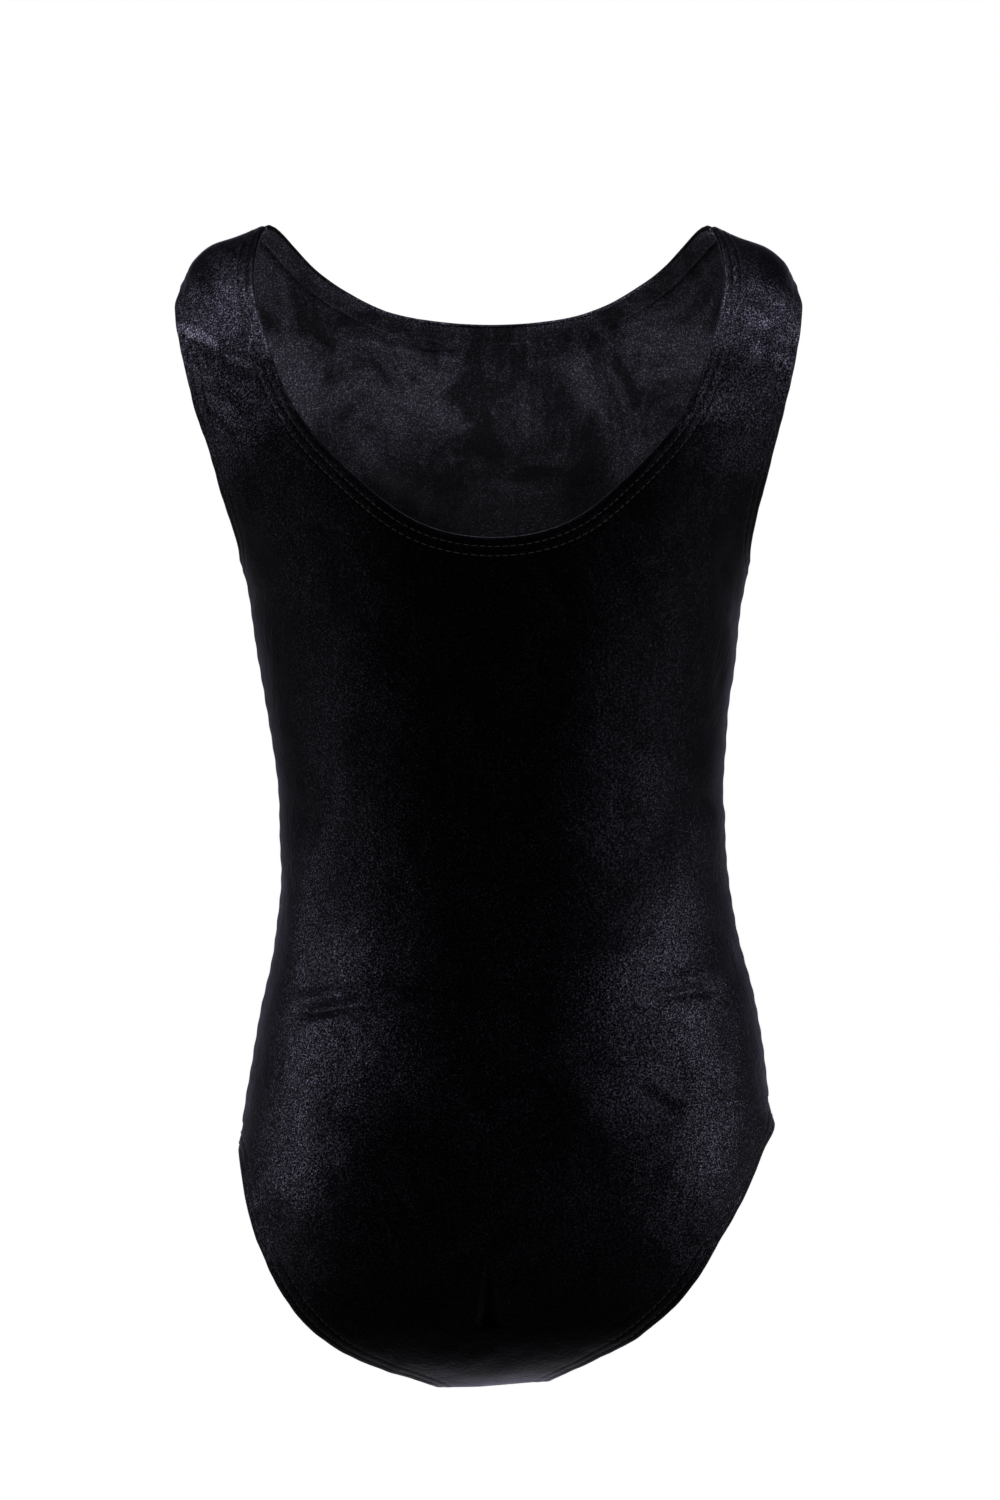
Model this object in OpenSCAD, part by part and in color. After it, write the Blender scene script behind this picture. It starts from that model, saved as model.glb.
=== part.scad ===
// Sleeveless gymnastics leotard in stretch velvet, worn size about 7 to 8 years.
// It hangs as it would on a body: X across, front towards -Y, Z up.
// The origin is midway between the straps, at the level of what carries them.
//
// Each panel is a curved sheet with two coordinates. The first, h, runs along
// the panel's centre line from 0 at the crotch seam to 13 at the shoulder seam.
// The second, phi, runs round the body from 0 at the centre to 90 at the side.

/* [Body] */
// Height from the crotch seam to the top of the shoulder arc
trunk_h = 540; // [520:5:560]
// Width at the top of the leg openings
hip_w = 240; // [230:2:250]
// Width at the waist
waist_w = 200; // [190:2:206]
// Width under the arms
chest_w = 230; // [222:2:238]
// Width of the arc that the two straps follow over the shoulders
shoulder_w = 308; // [300:2:314]

/* [Openings] */
// Width of the crotch between the leg openings
crotch_w = 56; // [48:2:64]
// Station of the lowest point of the front neckline
front_neck_h = 9.13; // [9.05:0.01:9.25]
// Station of the lowest point of the back neckline
back_neck_h = 11.15; // [11.05:0.01:11.3]

/* [Cloth] */
// Thickness of the velvet with its pile
fabric_t = 1; // [0.8:0.1:1.2]
// Width of the turned-in hems
hem_w = 9.5; // [8:0.5:10]
// Width of the elastic in the hems
elastic_w = 7; // [5:0.5:7]
// Thickness of the elastic
elastic_t = 0.7; // [0.5:0.1:1]
// Width of each trimmed seam allowance
allowance_w = 6; // [5:0.5:6.5]
// Thickness of two seam allowances laid to one side and oversewn
allowance_t = 1.8; // [1.4:0.1:2]
// Thickness of the crotch lining
lining_t = 0.6; // [0.4:0.1:0.8]

/* [Stitching] */
// Distance of the first row of stitches from the edge
row_1 = 4.2; // [3.5:0.1:5]
// Distance of the second row of stitches from the edge
row_2 = 8.3; // [7.5:0.1:9]
// Diameter of the thread
thread_d = 0.4; // [0.3:0.1:0.5]

/* [Hidden] */

// The two panels, which are also the sign of their outward Y direction.
FRONT = -1;
BACK = 1;
// The two halves of a panel.
RIGHT = 1;
LEFT = -1;

layer_gap = 0.15;    // air between two layers of cloth
crotch_y = 8;        // the crotch seam lies this far behind the side seams
ridge_y = 5;         // so does the shoulder seam
velvet = [0.03, 0.03, 0.05];
lining_colour = [0.2, 0.19, 0.2];
elastic_colour = [0.75, 0.75, 0.72];
thread_colour = [0.08, 0.08, 0.1];

// ---- stations along the centre line ----
// Each row holds the centre line's y and z, the angle by which the sheet's
// set-back tilts from level, the half width at the side and the set-back there.

hip_a = hip_w / 2;
waist_a = waist_w / 2;
chest_a = chest_w / 2;
shoulder_a = shoulder_w / 2;
kz = trunk_h / 540;

FRONT_LINE = [
    [crotch_y, 0, 90, 0.8 * hip_a, 40],
    [-22, 4 * kz, 72, 0.98 * hip_a, 50],
    [-47, 22 * kz, 46, 1.03 * hip_a, 60],
    [-62, 60 * kz, 16, 1.02 * hip_a, 66],
    [-70, 112 * kz, 0, hip_a, 70],
    [-74, 165 * kz, 0, 0.6 * hip_a + 0.4 * waist_a, 74],
    [-72, 215 * kz, 0, 0.1 * hip_a + 0.9 * waist_a, 72],
    [-70, 265 * kz, 0, waist_a, 70],
    [-74, 318 * kz, 0, 0.6 * waist_a + 0.4 * chest_a, 74],
    [-77, 372 * kz, 0, chest_a, 77],
    [-69, 425 * kz, -20, 0.5 * chest_a + 0.5 * shoulder_a, 80],
    [-51, 475 * kz, -48, 0.97 * shoulder_a, 80],
    [-27, 515 * kz, -74, shoulder_a, 78],
    [ridge_y, 540 * kz, -90, shoulder_a, 74]
];

BACK_LINE = [
    [crotch_y, 0, 90, 0.8 * hip_a, 40],
    [40, 4 * kz, 72, 0.98 * hip_a, 50],
    [68, 22 * kz, 46, 1.03 * hip_a, 60],
    [84, 60 * kz, 16, 1.02 * hip_a, 86],
    [89, 112 * kz, 0, hip_a, 89],
    [81, 165 * kz, 0, 0.6 * hip_a + 0.4 * waist_a, 81],
    [68, 215 * kz, 0, 0.1 * hip_a + 0.9 * waist_a, 68],
    [61, 265 * kz, 0, waist_a, 61],
    [66, 318 * kz, 0, 0.6 * waist_a + 0.4 * chest_a, 66],
    [72, 372 * kz, 0, chest_a, 72],
    [71, 425 * kz, -20, 0.5 * chest_a + 0.5 * shoulder_a, 76],
    [60, 475 * kz, -48, 0.97 * shoulder_a, 78],
    [37, 515 * kz, -74, shoulder_a, 77],
    [ridge_y, 540 * kz, -90, shoulder_a, 74]
];

LEG_H = 4;           // the leg opening ends at this station on the side seam
ARM_H = 9;           // the armhole starts here
TOP_H = 13;          // the shoulder seam

// ---- the cut edges, as points [h, phi] ----
// Each starts at the side seam or the centre line, which it meets squarely.

crotch_phi = asin(crotch_w / 2 / (0.8 * hip_a));
tip_phi = 68;        // outer end of the shoulder seam
neck_phi = 40.5;     // inner end of the shoulder seam
FRONT_LEG = [[LEG_H, 90], [3.8, 76], [3, 58], [2, 40], [1, 15.5], [0, crotch_phi]];
BACK_LEG = [[LEG_H, 90], [3.8, 77], [3, 63], [2, 45], [1, 25], [0, crotch_phi]];
FRONT_ARM = [[ARM_H, 90], [9.15, 79], [10, 66.5], [11, 63], [12, 65], [TOP_H, tip_phi]];
BACK_ARM = [[ARM_H, 90], [9.15, 80], [10, 68.5], [11, 64.5], [12, 66], [TOP_H, tip_phi]];
FRONT_NECK = [
    [front_neck_h, 0], [front_neck_h + 0.23, 20], [10.2, 36], [11.2, 41],
    [12.1, 43], [TOP_H, neck_phi]
];
BACK_NECK = [
    [back_neck_h, 0], [back_neck_h + 0.15, 16], [11.75, 27], [12.35, 34.5],
    [TOP_H, neck_phi]
];

// ---- curves and the curved sheet ----

function blend4(a, b, c, d, t) =
    0.5 * (2 * b + (c - a) * t + (2 * a - 5 * b + 4 * c - d) * t * t
    + (3 * b - a - 3 * c + d) * t * t * t);

// A smooth curve through the points of a list, at position t in steps of 1.
// It leaves its first point level, as a cut edge leaves a seam.
function curve(points, t) =
    let (last = len(points) - 1)
    let (i = max(0, min(floor(t), last - 1)))
    let (b = points[i], c = points[i + 1])
    let (a = i > 0 ? points[i - 1] : [c[0], 2 * b[1] - c[1]])
    let (d = i + 2 <= last ? points[i + 2] : 2 * c - b)
    blend4(a, b, c, d, t - i);

// Past the crotch seam and the shoulder seam a panel's line goes on as the other
// panel's, seen from this side, so the sheet is smooth across the seam.
function past_seam(row, half_turn) = [row[0], row[1], half_turn - row[2], row[3], row[4]];

// Row i of a panel's line.
function line_row(side, i) =
    let (own = side == FRONT ? FRONT_LINE : BACK_LINE)
    let (other = side == FRONT ? BACK_LINE : FRONT_LINE)
    i < 0 ? past_seam(other[-i], 180)
    : i > TOP_H ? past_seam(other[2 * TOP_H - i], -180)
    : own[i];

function station(side, h) =
    let (i = floor(h))
    let (rows = [for (k = [-1:2]) line_row(side, i + k)])
    blend4(rows[0], rows[1], rows[2], rows[3], h - i);

function sheet(side, q) =
    let (s = station(side, q[0]))
    let (set_back = s[4] * (1 - cos(q[1])))
    [
        s[3] * sin(q[1]),
        s[0] - side * set_back * cos(s[2]),
        s[1] + set_back * sin(s[2])
    ];

step_h = 0.01;
step_phi = 0.5;

function along_h(side, q) =
    (sheet(side, q + [step_h, 0]) - sheet(side, q - [step_h, 0])) / (2 * step_h);

function along_phi(side, q) =
    (sheet(side, q + [0, step_phi]) - sheet(side, q - [0, step_phi])) / (2 * step_phi);

function unit(v) = v / norm(v);

function outward(side, q) = side * unit(cross(along_h(side, q), along_phi(side, q)));

// ---- the band beside an edge, one hem wide ----

band_w = hem_w + 0.5;

// The step [h, phi] that goes one band width into the panel, square to an edge
// with direction dir. turn is 1 where the panel lies to the edge's +phi side.
function square_step(side, q, dir, turn) =
    let (sh = along_h(side, q), sp = along_phi(side, q))
    let (edge = sh * dir[0] + sp * dir[1])
    let (b = turn * side * unit(cross(outward(side, q), edge)))
    let (e = sh * sh, f = sh * sp, g = sp * sp)
    let (det = e * g - f * f)
    band_w * [(g * (b * sh) - f * (b * sp)) / det, (e * (b * sp) - f * (b * sh)) / det];

// The same step along a seam, where the band of one panel meets the other's.
function level_step(side, q, turn) = [0, turn * band_w / norm(along_phi(side, q))];
function upright_step(side, q, turn) = [turn * band_w / norm(along_h(side, q)), 0];

// Rows of the panel's grid: leg rows, side rows and arm rows.
leg_rows = 12;
side_rows = 10;
arm_rows = 14;
corner_leg = leg_rows;
corner_arm = leg_rows + side_rows;
last_row = leg_rows + side_rows + arm_rows;
columns = 12;        // of each half panel, with a band column at each end

// First row that ends at the neckline.
function neck_row(side) = side == FRONT ? corner_arm : corner_arm + arm_rows / 2;

// Row i's point of an edge whose rows run from first to last.
function edge_point(points, i, first, last) =
    curve(points, (len(points) - 1) * (i - first) / (last - first));

function leg_edge(side, i) =
    edge_point(side == FRONT ? FRONT_LEG : BACK_LEG, i, corner_leg, 0);

function arm_edge(side, i) =
    edge_point(side == FRONT ? FRONT_ARM : BACK_ARM, i, corner_arm, last_row);

function neck_edge(side, i) =
    edge_point(side == FRONT ? FRONT_NECK : BACK_NECK, i, neck_row(side), last_row);

tiny = 0.02;

function leg_step(side, i) =
    let (q = leg_edge(side, i))
    i == 0 ? level_step(side, q, -1)
    : i == corner_leg ? upright_step(side, q, 1)
    : square_step(side, q, leg_edge(side, i + tiny) - leg_edge(side, i - tiny), -1);

function arm_step(side, i) =
    let (q = arm_edge(side, i))
    i == last_row ? level_step(side, q, -1)
    : i == corner_arm ? upright_step(side, q, -1)
    : square_step(side, q, arm_edge(side, i + tiny) - arm_edge(side, i - tiny), -1);

function neck_step(side, i) =
    let (q = neck_edge(side, i))
    i == last_row ? level_step(side, q, 1)
    : i == neck_row(side) ? upright_step(side, q, -1)
    : square_step(side, q, neck_edge(side, i + tiny) - neck_edge(side, i - tiny), 1);

// Station of row i on the centre line, below the neckline.
function nominal_h(i) =
    i <= corner_leg ? LEG_H * i / leg_rows
    : i <= corner_arm ? LEG_H + (ARM_H - LEG_H) * (i - corner_leg) / side_rows
    : ARM_H + (TOP_H - ARM_H) * (i - corner_arm) / arm_rows;

function inner_end(side, i) =
    let (first = neck_row(side))
    let (neck_in = neck_edge(side, first) + neck_step(side, first))
    i < first ? [nominal_h(i) * neck_in[0] / nominal_h(first), 0]
    : neck_edge(side, i) + neck_step(side, i);

function outer_end(side, i) =
    let (low = leg_edge(side, corner_leg) + leg_step(side, corner_leg))
    let (high = arm_edge(side, corner_arm) + arm_step(side, corner_arm))
    i <= corner_leg ? leg_edge(side, i) + leg_step(side, i)
    : i >= corner_arm ? arm_edge(side, i) + arm_step(side, i)
    : low + (high - low) * (i - corner_leg) / side_rows;

// Point [h, phi] of the panel's grid. Column 0 is the neck edge and the last
// column is the leg or arm edge. The columns between cover the rest.
function grid_point(side, i, j) =
    j == 0 ? (i < neck_row(side) ? inner_end(side, i) : neck_edge(side, i))
    : j == columns && i <= corner_leg ? leg_edge(side, i)
    : j == columns && i >= corner_arm ? arm_edge(side, i)
    : inner_end(side, i)
        + (outer_end(side, i) - inner_end(side, i)) * min(1, (j - 1) / (columns - 2));

function mirror_if(half, p) = [half * p[0], p[1], p[2]];

// Every grid point's place and outward direction, worked out once per panel.
function place_table(side) =
    [for (i = [0:last_row]) [for (j = [0:columns]) sheet(side, grid_point(side, i, j))]];

function outward_table(side) =
    [for (i = [0:last_row]) [for (j = [0:columns]) outward(side, grid_point(side, i, j))]];

FRONT_PLACES = place_table(FRONT);
BACK_PLACES = place_table(BACK);
FRONT_OUTWARD = outward_table(FRONT);
BACK_OUTWARD = outward_table(BACK);

// The straps' middle, inside the seam, is the level that carries the garment.
strap_phi = (tip_phi + neck_phi) / 2;
hang_z = sheet(FRONT, [TOP_H, strap_phi])[2] - fabric_t - allowance_t;

// A point of the sheet, raised by lift along its outward direction.
function raised(side, half, i, j, lift) =
    let (places = side == FRONT ? FRONT_PLACES : BACK_PLACES)
    let (outwards = side == FRONT ? FRONT_OUTWARD : BACK_OUTWARD)
    mirror_if(half, places[i][j] + lift * outwards[i][j] - [0, ridge_y, hang_z]);

// A point a fraction t of the way from one grid point to another.
function between(side, half, a, b, t, lift) =
    raised(side, half, a[0], a[1], lift) * (1 - t) + raised(side, half, b[0], b[1], lift) * t;

// ---- solids from rows of points ----

function ring_faces(n, m, closed) = [
    for (i = [0:(closed ? n - 1 : n - 2)])
    for (j = [0:m - 1])
    let (a = i * m + j, b = i * m + (j + 1) % m)
    let (c = ((i + 1) % n) * m + (j + 1) % m, d = ((i + 1) % n) * m + j)
    for (face = [[a, c, b], [a, d, c]]) face
];

function reversed(face) = [face[0], face[2], face[1]];

function cap(first, m, flip) =
    [for (j = [1:m - 2]) flip ? [first, first + j + 1, first + j] : [first, first + j, first + j + 1]];

// Sweeps a list of sections, each a ring of points, into a solid.
module sweep_rings(rings, flip = false) {
    n = len(rings);
    m = len(rings[0]);
    points = [for (r = rings) for (p = r) p];
    faces = concat(ring_faces(n, m, false), cap(0, m, false), cap((n - 1) * m, m, true));
    polyhedron(points, flip ? [for (f = faces) reversed(f)] : faces);
}

// Sweeps closed loops of sections, all of one size, into separate solids.
module sweep_loops(loops, flip = false) {
    n = len(loops[0]);
    m = len(loops[0][0]);
    points = [for (rings = loops) for (r = rings) for (p = r) p];
    faces = [
        for (k = [0:len(loops) - 1])
        for (f = ring_faces(n, m, true))
        f + k * n * m * [1, 1, 1]
    ];
    polyhedron(points, flip ? [for (f = faces) reversed(f)] : faces);
}

// ---- panels ----

function has_neck_band(side, i) = i >= neck_row(side);
function has_outer_band(i) = i < corner_leg || i >= corner_arm;

// Index of a grid point. The halves share the points on the centre line.
function index(side, layer, half, i, j) =
    let (shared = (i < neck_row(side) && j == 1) || (i == neck_row(side) && j <= 1))
    let (h = half == LEFT && !shared ? 1 : 0)
    ((layer * 2 + h) * (last_row + 1) + i) * (columns + 1) + j;

// The panel's outline in grid points, from the crotch round to the neckline.
function outline(side) = concat(
    [for (j = [1:columns]) [0, j]],
    [for (i = [1:corner_leg]) [i, columns]],
    [for (i = [corner_leg:corner_arm]) [i, columns - 1]],
    [for (i = [corner_arm:last_row]) [i, columns]],
    [for (j = [columns - 1:-1:0]) [last_row, j]],
    [for (i = [last_row - 1:-1:neck_row(side)]) [i, 0]]
);

function two(a, b, c, d) = [[a, b, c], [a, c, d]];

module panel(side) {
    points = [
        for (layer = [0, 1])
        for (half = [RIGHT, LEFT])
        for (i = [0:last_row])
        for (j = [0:columns])
        raised(side, half, i, j, -layer * fabric_t)
    ];
    skins = [
        for (layer = [0, 1])
        for (half = [RIGHT, LEFT])
        for (i = [0:last_row - 1])
        for (j = [0:columns - 1])
        if ((j > 0 || has_neck_band(side, i)) && (j < columns - 1 || has_outer_band(i)))
        let (a = index(side, layer, half, i, j), b = index(side, layer, half, i, j + 1))
        let (c = index(side, layer, half, i + 1, j + 1), d = index(side, layer, half, i + 1, j))
        for (face = half * side * (1 - 2 * layer) < 0 ? two(a, d, c, b) : two(a, b, c, d)) face
    ];
    path = outline(side);
    walls = [
        for (half = [RIGHT, LEFT])
        for (k = [0:len(path) - 2])
        let (p = path[k], q = path[k + 1])
        let (a = index(side, 0, half, p[0], p[1]), b = index(side, 0, half, q[0], q[1]))
        let (c = index(side, 1, half, q[0], q[1]), d = index(side, 1, half, p[0], p[1]))
        for (face = half * side < 0 ? two(a, b, c, d) : two(a, d, c, b)) face
    ];
    color(velvet) polyhedron(points, concat(skins, walls));
}

module front_panel() {
    panel(FRONT);
}

module back_panel() {
    panel(BACK);
}

// ---- bands along the edges ----

// The stops of an edge's band: for each, the panel, the half of the panel and
// the grid points at the edge and one band width in.
function neck_stops() = concat(
    [for (i = [corner_arm:last_row]) [FRONT, RIGHT, [i, 0], [i, 1]]],
    [for (i = [last_row - 1:-1:neck_row(BACK)]) [BACK, RIGHT, [i, 0], [i, 1]]],
    [for (i = [neck_row(BACK) + 1:last_row]) [BACK, LEFT, [i, 0], [i, 1]]],
    [for (i = [last_row - 1:-1:corner_arm + 1]) [FRONT, LEFT, [i, 0], [i, 1]]]
);

function arm_stops(half) = concat(
    [for (i = [corner_arm:last_row]) [FRONT, half, [i, columns], [i, columns - 1]]],
    [for (i = [last_row - 1:-1:corner_arm + 1]) [BACK, half, [i, columns], [i, columns - 1]]]
);

function leg_stops(half) = concat(
    [for (i = [corner_leg:-1:0]) [FRONT, half, [i, columns], [i, columns - 1]]],
    [for (i = [1:corner_leg - 1]) [BACK, half, [i, columns], [i, columns - 1]]]
);

// The sections of a band from near to far millimetres from the edge, between
// two lifts.
function band(stops, near, far, low, high) = [
    for (s = stops) [
        for (c = [[near, low], [far, low], [far, high], [near, high]])
        between(s[0], s[1], s[2], s[3], c[0] / band_w, c[1])
    ]
];

elastic_lift = -fabric_t - layer_gap;
hem_lift = elastic_lift - elastic_t - layer_gap;

module hem(stops, flip) {
    color(velvet) sweep_loops([band(stops, 0, hem_w, hem_lift - fabric_t, hem_lift)], flip);
}

module elastic(stops, flip) {
    near = 1;
    loop = band(stops, near, near + elastic_w, elastic_lift - elastic_t, elastic_lift);
    color(elastic_colour) sweep_loops([loop], flip);
}

module stitching(stops, flip) {
    clear = 0.05;
    loops = [
        for (row = [row_1, row_2])
        band(stops, row - thread_d / 2, row + thread_d / 2, clear, clear + thread_d)
    ];
    color(thread_colour) sweep_loops(loops, flip);
}

module neck_hem() {
    hem(neck_stops(), true);
}

module left_arm_hem() {
    hem(arm_stops(LEFT), true);
}

module right_arm_hem() {
    hem(arm_stops(RIGHT), false);
}

module left_leg_hem() {
    hem(leg_stops(LEFT), false);
}

module right_leg_hem() {
    hem(leg_stops(RIGHT), true);
}

module neck_elastic() {
    elastic(neck_stops(), true);
}

module left_arm_elastic() {
    elastic(arm_stops(LEFT), true);
}

module right_arm_elastic() {
    elastic(arm_stops(RIGHT), false);
}

module left_leg_elastic() {
    elastic(leg_stops(LEFT), false);
}

module right_leg_elastic() {
    elastic(leg_stops(RIGHT), true);
}

module neck_stitching() {
    stitching(neck_stops(), true);
}

module left_arm_stitching() {
    stitching(arm_stops(LEFT), true);
}

module right_arm_stitching() {
    stitching(arm_stops(RIGHT), false);
}

module left_leg_stitching() {
    stitching(leg_stops(LEFT), false);
}

module right_leg_stitching() {
    stitching(leg_stops(RIGHT), true);
}

// ---- seams ----

// A seam's stops: for each, the half and the grid points on the seam and next
// to it, which are the same in both panels.
// The allowances lie inside, one allowance width to each side of the seam.
module seam(stops, low, high, flip) {
    rings = [
        for (s = stops)
        let (on_seam = raised(FRONT, s[0], s[1][0], s[1][1], 0))
        let (beside = raised(FRONT, s[0], s[2][0], s[2][1], 0))
        let (t = allowance_w / norm(on_seam - beside))
        [
            between(FRONT, s[0], s[1], s[2], t, low),
            raised(FRONT, s[0], s[1][0], s[1][1], low),
            between(BACK, s[0], s[1], s[2], t, low),
            between(BACK, s[0], s[1], s[2], t, high),
            raised(FRONT, s[0], s[1][0], s[1][1], high),
            between(FRONT, s[0], s[1], s[2], t, high)
        ]
    ];
    color(thread_colour) sweep_rings(rings, flip = flip);
}

seam_lift = -fabric_t - layer_gap;

function side_stops(half) =
    [for (i = [corner_leg:corner_arm]) [half, [i, columns - 1], [i, columns - 2]]];

function shoulder_stops(half) =
    [for (j = [1:columns - 1]) [half, [last_row, j], [last_row - 1, j]]];

function crotch_stops() = concat(
    [for (j = [columns - 1:-1:2]) [LEFT, [0, j], [1, j]]],
    [for (j = [1:columns - 1]) [RIGHT, [0, j], [1, j]]]
);

module left_side_seam() {
    seam(side_stops(LEFT), seam_lift - allowance_t, seam_lift, false);
}

module right_side_seam() {
    seam(side_stops(RIGHT), seam_lift - allowance_t, seam_lift, true);
}

module left_shoulder_seam() {
    seam(shoulder_stops(LEFT), seam_lift - allowance_t, seam_lift, true);
}

module right_shoulder_seam() {
    seam(shoulder_stops(RIGHT), seam_lift - allowance_t, seam_lift, false);
}

lining_lift = seam_lift - lining_t - layer_gap;

module crotch_seam() {
    seam(crotch_stops(), lining_lift - allowance_t, lining_lift, true);
}

// ---- crotch lining ----

lining_rows = 6;

module crotch_lining() {
    ends = concat(
        [for (j = [columns - 1:-1:2]) [LEFT, j]],
        [for (j = [1:columns - 1]) [RIGHT, j]]
    );
    rings = [
        for (i = [0:lining_rows])
        concat(
            [for (e = ends) raised(FRONT, e[0], i, e[1], seam_lift)],
            [for (k = [len(ends) - 1:-1:0])
                raised(FRONT, ends[k][0], i, ends[k][1], seam_lift - lining_t)]
        )
    ];
    color(lining_colour) sweep_rings(rings);
}

front_panel();
back_panel();
crotch_lining();
neck_hem();
left_arm_hem();
right_arm_hem();
left_leg_hem();
right_leg_hem();
neck_elastic();
left_arm_elastic();
right_arm_elastic();
left_leg_elastic();
right_leg_elastic();
left_side_seam();
right_side_seam();
left_shoulder_seam();
right_shoulder_seam();
crotch_seam();
neck_stitching();
left_arm_stitching();
right_arm_stitching();
left_leg_stitching();
right_leg_stitching();
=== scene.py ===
import math
import bmesh
import bpy
import numpy as np
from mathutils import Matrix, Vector


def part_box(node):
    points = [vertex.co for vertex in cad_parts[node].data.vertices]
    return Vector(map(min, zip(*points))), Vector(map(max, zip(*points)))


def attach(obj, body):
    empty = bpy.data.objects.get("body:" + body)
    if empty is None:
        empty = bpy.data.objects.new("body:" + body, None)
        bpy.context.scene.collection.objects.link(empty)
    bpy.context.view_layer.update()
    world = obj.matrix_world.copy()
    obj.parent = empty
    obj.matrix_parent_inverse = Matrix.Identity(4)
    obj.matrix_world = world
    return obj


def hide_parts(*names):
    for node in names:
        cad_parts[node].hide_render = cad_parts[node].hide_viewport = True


# A sleeveless gymnastics leotard in black stretch velvet. Shapes are worked out
# in millimetres above the crotch seam, with the side seams in the plane y = 0,
# and are moved into the frame, in metres, as each mesh is made. A place on a panel
# is [h, phi]: h counts stations up from the crotch, and phi is the angle in degrees
# round from the panel's middle, 90 at a side seam.

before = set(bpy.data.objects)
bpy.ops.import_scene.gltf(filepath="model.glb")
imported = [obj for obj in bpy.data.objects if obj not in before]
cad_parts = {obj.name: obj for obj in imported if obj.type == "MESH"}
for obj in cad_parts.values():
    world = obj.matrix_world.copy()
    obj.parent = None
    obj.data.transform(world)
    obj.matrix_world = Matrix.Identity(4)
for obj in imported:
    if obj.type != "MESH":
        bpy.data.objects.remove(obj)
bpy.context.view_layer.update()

FRONT, BACK = -1, 1
RIGHT, LEFT = 1, -1
SIDES = (FRONT, BACK)
HALVES = (RIGHT, LEFT)

MM = 0.001
RIDGE_Y = 5.0                      # the shoulder seam lies this far behind the side seams
CROTCH_Y = 8.0                     # and so does the crotch seam
LOW_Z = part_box("front_panel")[0][2] / MM

CLOTH = 0.9                        # thickness of the velvet
BASE = -CLOTH / 2                  # lift of the middle of the cloth
BAND = 12.0                        # width of the strip that carries a hem
HEM = 9.5                          # width of the turned-in hem
ROWS_OF_STITCHES = (4.2, 8.3)      # distance of each row from the edge
LINING_TOP = 0.36                  # how far down the leg edge the lining reaches
LEG_H, ARM_H, TOP_H = 4, 9, 13     # stations of the leg corner, underarm and shoulder

# ---- the sheet: the same stations as the CAD panels ----
# y, z, tilt of the set-back, half width and set-back, from crotch to shoulder. The
# set-back is how far the sheet falls back from its middle to its sides.

HIP, WAIST, CHEST, SHOULDER = 120.0, 100.0, 115.0, 154.0
LINES = {
    FRONT: np.array([
        [CROTCH_Y, 0, 90, 0.8 * HIP, 40],
        [-22, 4, 72, 0.98 * HIP, 50],
        [-47, 22, 46, 1.03 * HIP, 60],
        [-62, 60, 16, 1.02 * HIP, 66],
        [-70, 112, 0, HIP, 70],
        [-74, 165, 0, 0.6 * HIP + 0.4 * WAIST, 74],
        [-72, 215, 0, 0.1 * HIP + 0.9 * WAIST, 72],
        [-70, 265, 0, WAIST, 70],
        [-74, 318, 0, 0.6 * WAIST + 0.4 * CHEST, 74],
        [-77, 372, 0, CHEST, 77],
        [-69, 425, -20, 0.5 * CHEST + 0.5 * SHOULDER, 80],
        [-51, 475, -48, 0.97 * SHOULDER, 80],
        [-27, 515, -74, SHOULDER, 78],
        [RIDGE_Y, 540, -90, SHOULDER, 74],
    ]),
    BACK: np.array([
        [CROTCH_Y, 0, 90, 0.8 * HIP, 40],
        [40, 4, 72, 0.98 * HIP, 50],
        [68, 22, 46, 1.03 * HIP, 60],
        [84, 60, 16, 1.02 * HIP, 86],
        [89, 112, 0, HIP, 89],
        [81, 165, 0, 0.6 * HIP + 0.4 * WAIST, 81],
        [68, 215, 0, 0.1 * HIP + 0.9 * WAIST, 68],
        [61, 265, 0, WAIST, 61],
        [66, 318, 0, 0.6 * WAIST + 0.4 * CHEST, 66],
        [72, 372, 0, CHEST, 72],
        [71, 425, -20, 0.5 * CHEST + 0.5 * SHOULDER, 76],
        [60, 475, -48, 0.97 * SHOULDER, 78],
        [37, 515, -74, SHOULDER, 77],
        [RIDGE_Y, 540, -90, SHOULDER, 74],
    ]),
}

# The cut edges as points [h, phi], each from the seam or centre that it leaves
# squarely.
CROTCH_PHI = math.degrees(math.asin(28 / (0.8 * HIP)))
EDGES = {
    (FRONT, "leg"): [[4, 90], [3.8, 76], [3, 58], [2, 40], [1, 15.5], [0, CROTCH_PHI]],
    (BACK, "leg"): [[4, 90], [3.8, 77], [3, 63], [2, 45], [1, 25], [0, CROTCH_PHI]],
    (FRONT, "arm"): [[9, 90], [9.15, 79], [10, 66.5], [11, 63], [12, 65], [13, 68]],
    (BACK, "arm"): [[9, 90], [9.15, 80], [10, 68.5], [11, 64.5], [12, 66], [13, 68]],
    (FRONT, "neck"): [[9.13, 0], [9.36, 20], [10.2, 36], [11.2, 41], [12.1, 43], [13, 40.5]],
    (BACK, "neck"): [[11.15, 0], [11.3, 16], [11.75, 27], [12.35, 34.5], [13, 40.5]],
}


def blend4(a, b, c, d, t):
    """The Catmull-Rom curve from b to c."""
    return 0.5 * (
        2 * b + (c - a) * t + (2 * a - 5 * b + 4 * c - d) * t**2 + (3 * b - a - 3 * c + d) * t**3
    )


def past_seam(rows, half_turn):
    """Rows of the other panel's line, as this panel's line goes on past a seam."""
    rows = rows.copy()
    rows[:, 2] = half_turn - rows[:, 2]
    return rows


SPARE = 2                          # rows added beyond each end of a line
LONG_LINES = {
    side: np.vstack([
        past_seam(LINES[-side][[2, 1]], 180),
        LINES[side],
        past_seam(LINES[-side][[TOP_H - 1, TOP_H - 2]], -180),
    ])
    for side in SIDES
}


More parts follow.
